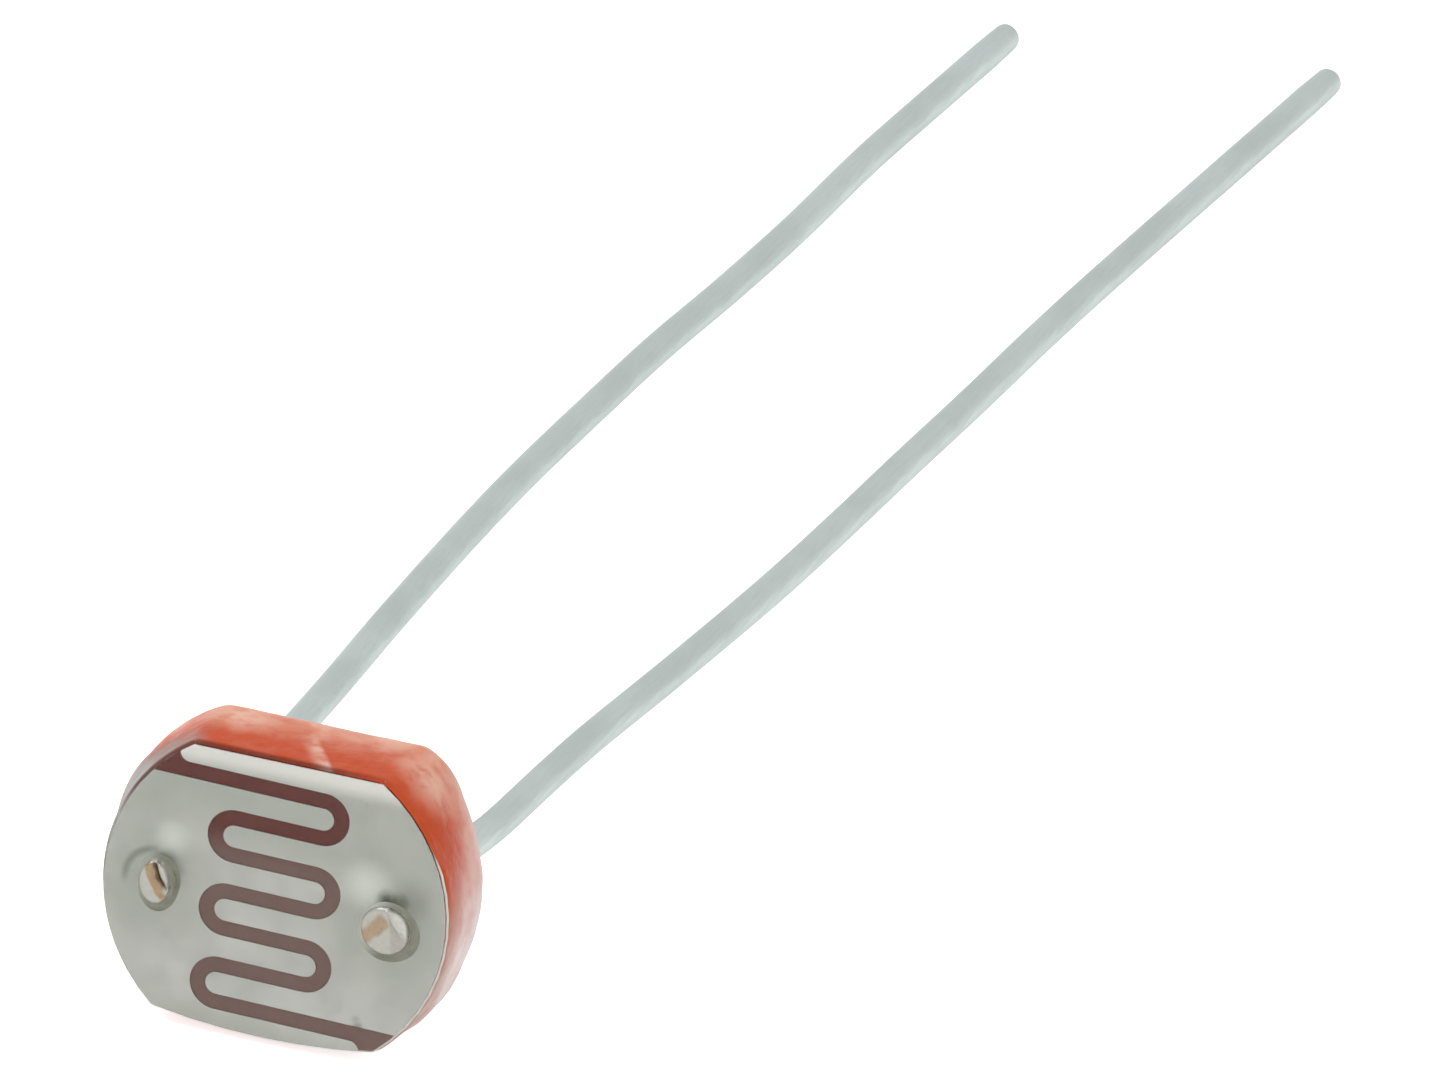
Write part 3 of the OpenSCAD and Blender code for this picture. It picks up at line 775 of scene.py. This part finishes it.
def coat(look):
    """The dipped coat: back sheet, rounded edge, side, front lip, and its inner side."""
    angle = round_angles(N_ROUND)
    angle = np.where(angle > np.pi, angle - 2 * np.pi, angle)
    edge = outline(BACK_INSET, coat_inset)

    def keep(co):
        return coat_inset(co[:, 0], co[:, 1]) > BACK_INSET + 0.05

    hole = LEAD_R - 0.002
    xz, triangles, loops = sheet(edge, (hole, hole), COAT_GAPS, COAT_PITCH, keep)
    n = len(xz)
    points, faces = two_sides(xz, triangles, coat_depth(xz), DISC_T + BACK_GAP)
    for loop in loops[1:]:
        faces += bands([loop, loop + n])

    # Rings from the outer sheet round the side to the front edge, and back along the disc
    count = 2 * n
    rings = [loops[0]]

    def ring(line, y):
        nonlocal count
        points.append(np.stack([line[:, 0], np.broadcast_to(y, N_ROUND), line[:, 1]], 1))
        rings.append(np.arange(count, count + N_ROUND))
        count += N_ROUND

    profile = [(COAT_ROUND * (1 - math.cos(t)), COAT_END - COAT_ROUND + COAT_ROUND * math.sin(t))
               for t in np.radians(ROUND_STEPS)]
    degrees = np.degrees(angle)
    turn = degrees % 360
    hug = smoothstep((turn - HUG_FROM) / HUG_IN) * smoothstep((HUG_TO - turn) / HUG_OUT)
    for off, y in (*profile, *COAT_SIDE):
        grown = smoothstep((y - 0.1) / 0.45)
        thin = np.minimum(off + HUG * hug * (1 - smoothstep((y - 0.1) / 0.3)), HUG)
        thin = np.maximum(off, thin)
        bow = BOW_R + 0.006 + BOW_SLOPE * (y - 0.03) + thin
        ring(outline(thin, inset, side_radius(angle, grown), COAT_TOP, bow, SIDE_SHARP), y)
    stop = SHORT_SHARE * smoothstep((degrees - SHORT_FROM) / SHORT_FADE)
    stop = stop * smoothstep((SHORT_TO - degrees) / SHORT_FADE)
    over = (1 - stop) * (1 - hug)
    for short, run in zip(LIP_SHORT, LIP_OVER):
        out, y = (a * (1 - over) + b * over for a, b in zip(short, run))
        ring(outline(0, disc_inset, out), y)
    wall = outline(0, disc_inset, WALL_GAP)
    for y in (WALL_START, DISC_T + BACK_GAP):
        ring(wall, y)
    rings.append(loops[0] + n)
    faces += bands(rings)
    points = np.concatenate(points)

    # Dents over the outer skin, none on the inner side, at the front edge or by the leads
    skin = np.ones(len(points))
    skin[n:2 * n] = 0
    skin[-2 * N_ROUND:] = 0
    skin *= smoothstep((points[:, 1] - 0.06) / 0.35)
    skin *= smoothstep((lead_distance(points[:, [0, 2]]) - 0.25) / 0.3)
    dent = sum(depth * (0.5 + 0.5 * waves(points, size, seed)) for depth, size, seed in DENTS)
    away = points - COAT_MIDDLE
    points = points - (skin * dent / np.linalg.norm(away, axis=1))[:, None] * away
    piece("coat_skin", points, faces, look, "resin_coat", 50)


# Each blob of paste: its middle from the middle of its head, its half sizes and its height
BLOBS = {-1: ((0.006, -0.07), (0.31, 0.43), 0.15), 1: ((0.04, -0.045), (0.455, 0.445), 0.075)}

# Where the paste starts, as a share of the head's radius, the least that it stands out, the
# waves of its edge, and the two powers of its section
PASTE_START, PASTE_LEAST, PASTE_WAVE = 0.97, 0.02, 0.008
PASTE_ROUND, PASTE_TAPER, PASTE_RINGS = 1.7, 1.4, 12


def bond(side, look):
    """Blob of paste round a head, off to one side of it."""
    name = "bond_left" if side < 0 else "bond_right"
    shift, stretch = HEADS["lead_left" if side < 0 else "lead_right"][:2]
    head_x = side * LEAD_X + shift[0]
    angle = round_angles(N_HOLE)
    cos, sin = np.cos(angle), np.sin(angle)
    start = PASTE_START * HEAD_R[side] / np.hypot(cos / stretch[0], sin / stretch[1])
    middle, half, height = BLOBS[side]
    rim_x, rim_z = middle[0] + half[0] * cos, middle[1] + half[1] * sin
    rim_angle = np.unwrap(np.arctan2(rim_z, rim_x))
    reach = np.interp(angle, rim_angle, np.hypot(rim_x, rim_z), period=2 * np.pi)
    reach = reach + PASTE_WAVE * np.cos(3 * angle + side)
    reach = np.maximum(reach, start + PASTE_LEAST)
    points, rings = [], []
    section = [(t, height * (1 - t**PASTE_ROUND) ** PASTE_TAPER)
               for t in np.linspace(0, 0.98, PASTE_RINGS)]
    for t, h in section + [(1, 0), (0, 0)]:
        r = start + (reach - start) * t
        rings.append(np.arange(len(points), len(points) + N_HOLE))
        y = np.full(N_HOLE, -FILM_T - h)
        points.extend(np.stack([head_x + r * cos, y, shift[1] + r * sin], 1))
    faces = bands(rings + rings[:1])
    piece(name + "_paste", points, faces, look, name, 60)


# The varnish: its thickness at the edge as a share, how far in it is full, how steeply its
# rings rise, the depth and size of its waves, and its clearance from the metal
EDGE_SHARE, EDGE_IN, RING_POWER = 0.35, 0.15, 2.2
VARNISH_WAVE, VARNISH_WAVE_SIZE, VARNISH_GAP = 0.004, 0.8, 0.002


def varnish(look):
    """Clear skin over the face, thinner at its edge and raised in a ring round each pin."""
    edge = outline(0, disc_inset, -FILM_RIM)

    def keep(co):
        return disc_inset(co[:, 0], co[:, 1], -FILM_RIM) > 0.04

    holes = [HEAD_R[side] for side in (-1, 1)]
    bonds = [BOND_R[side] - 0.03 for side in (-1, 1)]
    xz, triangles, loops = sheet(edge, holes, VARNISH_GAPS, VARNISH_PITCH, keep)
    off = disc_inset(xz[:, 0], xz[:, 1], -FILM_RIM)
    flat = np.insert(xz, 1, 0, axis=1)
    ring = RING_H * np.clip(1 - lead_distance(xz, bonds) / RING_W, 0, 1) ** RING_POWER
    full = EDGE_SHARE + (1 - EDGE_SHARE) * smoothstep(off / EDGE_IN)
    top = VARNISH_T * full + ring + VARNISH_WAVE * waves(flat, VARNISH_WAVE_SIZE, 6)
    points, faces = two_sides(xz, triangles, -FILM_T - top, -FILM_T - VARNISH_GAP)
    for loop in loops:
        faces += bands([loop, loop + len(xz)])
    piece("varnish_skin", np.concatenate(points), faces, look, "face_varnish", 60)


wire = wire_look()
lead("lead_left", wire)
lead("lead_right", wire)
coat(resin_look())
varnish(varnish_look())
for side in (-1, 1):
    bond(side, bond_look(side))

# The CAD's own disc, film and electrodes take their materials
electrode_metal = electrode_look()
for node, look in (("ceramic_disc", ceramic_look()), ("photoconductor_film", film_look()),
                   ("electrode_left", electrode_metal), ("electrode_right", electrode_metal)):
    mesh = frame["nodes"][node].data
    mesh.materials.clear()
    mesh.materials.append(look)


# Floor, light and camera, in metres

WHITE = (1, 1, 1, 1)
FLOOR_TONE = (0.9, 0.9, 0.9, 1)
FLOOR_HALF, FLOOR_Z = 3.0, -2e-6

# Glow of the floor for the rays that see the background, and what the camera's own rays add
GLOW, CAMERA_GLOW = 0.58, 0.17
WORLD_LIGHT = 0.55

# Lamps that face the object: name, place, size and watts
LAMPS = (("key", (-0.25, -0.12, 0.5), 0.4, 1.6), ("fill", (0.45, -0.35, 0.3), 0.4, 0.8))

# Camera: degrees round to the right, up and rolled, its place, and its lens and sensor in
# millimetres
CAMERA_TURN = (15.395228, 21.689655, 6.175233)
CAMERA_PLACE = (0.13558845, -0.47206546, 0.20329447)
CAMERA_LENS, CAMERA_SENSOR = 953.0725, 36.0


def add_object(name, data):
    obj = bpy.data.objects.new(name, data)
    bpy.context.scene.collection.objects.link(obj)
    return obj


def seen_mask(tree):
    """1 for camera, glossy and transmission rays, which see the white background."""
    rays = tree.nodes.new("ShaderNodeLightPath")
    value = rays.outputs["Is Camera Ray"]
    for other in ("Is Glossy Ray", "Is Transmission Ray"):
        node = tree.nodes.new("ShaderNodeMath")
        node.operation = "MAXIMUM"
        tree.links.new(value, node.inputs[0])
        tree.links.new(rays.outputs[other], node.inputs[1])
        value = node.outputs["Value"]
    return value


def floor():
    """Pale matt floor that glows to white where it is seen and keeps the object's shadow."""
    look = bpy.data.materials.new("floor")
    look.use_nodes = True
    tree = look.node_tree
    tree.nodes.clear()
    matt = tree.nodes.new("ShaderNodeBsdfDiffuse")
    matt.inputs["Color"].default_value = FLOOR_TONE
    glow = tree.nodes.new("ShaderNodeEmission")
    strength = tree.nodes.new("ShaderNodeMath")
    strength.operation = "MULTIPLY_ADD"
    strength.inputs[1].default_value = GLOW
    tree.links.new(seen_mask(tree), strength.inputs[0])
    direct = tree.nodes.new("ShaderNodeMath")
    direct.operation = "MULTIPLY"
    direct.inputs[1].default_value = CAMERA_GLOW
    rays = tree.nodes.new("ShaderNodeLightPath")
    tree.links.new(rays.outputs["Is Camera Ray"], direct.inputs[0])
    tree.links.new(direct.outputs["Value"], strength.inputs[2])
    tree.links.new(strength.outputs["Value"], glow.inputs["Strength"])
    both = tree.nodes.new("ShaderNodeAddShader")
    tree.links.new(matt.outputs["BSDF"], both.inputs[0])
    tree.links.new(glow.outputs["Emission"], both.inputs[1])
    out = tree.nodes.new("ShaderNodeOutputMaterial")
    tree.links.new(both.outputs["Shader"], out.inputs["Surface"])
    corners = ((-1, -1), (1, -1), (1, 1), (-1, 1))
    mesh = bpy.data.meshes.new("floor")
    mesh.from_pydata([(x * FLOOR_HALF, y * FLOOR_HALF, FLOOR_Z) for x, y in corners],
                     [], [(0, 1, 2, 3)])
    mesh.materials.append(look)
    obj = add_object("floor", mesh)


def world():
    """Even white light, with a white background where it is seen."""
    scene = bpy.context.scene
    scene.world = bpy.data.worlds.new("studio")
    scene.world.use_nodes = True
    tree = scene.world.node_tree
    light = tree.nodes["Background"]
    light.inputs["Color"].default_value = WHITE
    light.inputs["Strength"].default_value = WORLD_LIGHT
    white = tree.nodes.new("ShaderNodeBackground")
    white.inputs["Color"].default_value = WHITE
    white.inputs["Strength"].default_value = 1.0
    mix = tree.nodes.new("ShaderNodeMixShader")
    tree.links.new(seen_mask(tree), mix.inputs[0])
    tree.links.new(light.outputs["Background"], mix.inputs[1])
    tree.links.new(white.outputs["Background"], mix.inputs[2])
    tree.links.new(mix.outputs["Shader"], tree.nodes["World Output"].inputs["Surface"])


def lamp(name, place, size, watts):
    data = bpy.data.lights.new(name, "AREA")
    data.shape = "SQUARE"
    data.size = size
    data.energy = watts
    obj = add_object(name, data)
    obj.location = place
    obj.rotation_mode = "QUATERNION"
    obj.rotation_quaternion = (-Vector(place)).to_track_quat("-Z", "Y")


def camera():
    azimuth, elevation, roll = (math.radians(a) for a in CAMERA_TURN)
    level = math.cos(elevation)
    back = Vector((math.sin(azimuth) * level, -math.cos(azimuth) * level, math.sin(elevation)))
    data = bpy.data.cameras.new("camera")
    data.sensor_width = CAMERA_SENSOR
    data.lens = CAMERA_LENS
    data.clip_start = 0.01
    data.clip_end = 10.0
    obj = add_object("camera", data)
    obj.location = CAMERA_PLACE
    obj.rotation_mode = "QUATERNION"
    obj.rotation_quaternion = (-back).to_track_quat("-Z", "Y") @ Quaternion((0, 0, 1), roll)
    bpy.context.scene.camera = obj


floor()
world()
for settings in LAMPS:
    lamp(*settings)
camera()
bpy.context.scene.view_settings.view_transform = "Standard"
